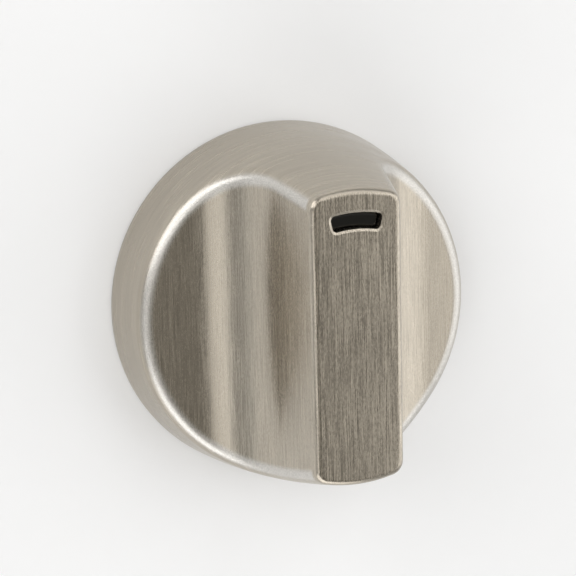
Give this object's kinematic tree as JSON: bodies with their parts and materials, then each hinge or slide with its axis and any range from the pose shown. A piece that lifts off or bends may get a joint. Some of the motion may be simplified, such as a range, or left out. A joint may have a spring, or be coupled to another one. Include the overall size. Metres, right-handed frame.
{
  "type": "stove knob",
  "caption": "Round brushed-metal stove control knob with a scooped bar grip and a black arc indicator, on a moulded hub with a D-shaped shaft socket and a spring clip.",
  "frame": {"origin": "centre of the back rim, on the plane that the rim stands on", "axes": "+Z along the shaft axis out of the front, +Y along the grip bar towards the indicator, +X across the bar"},
  "size_m": [0.05, 0.05, 0.028],
  "materials": {
    "brushed_metal": "fine brushed lines along the bar and round the wall, satin",
    "gloss_black": "smooth gloss",
    "hub_black": "fine moulded grain",
    "spring_steel": "rolled strip, satin"
  },
  "bodies": {
    "root": {"knob_shell": "brushed_metal", "indicator_insert": "gloss_black", "hub_insert": "hub_black", "shaft_clip": "spring_steel"}
  },
  "joints": []
}
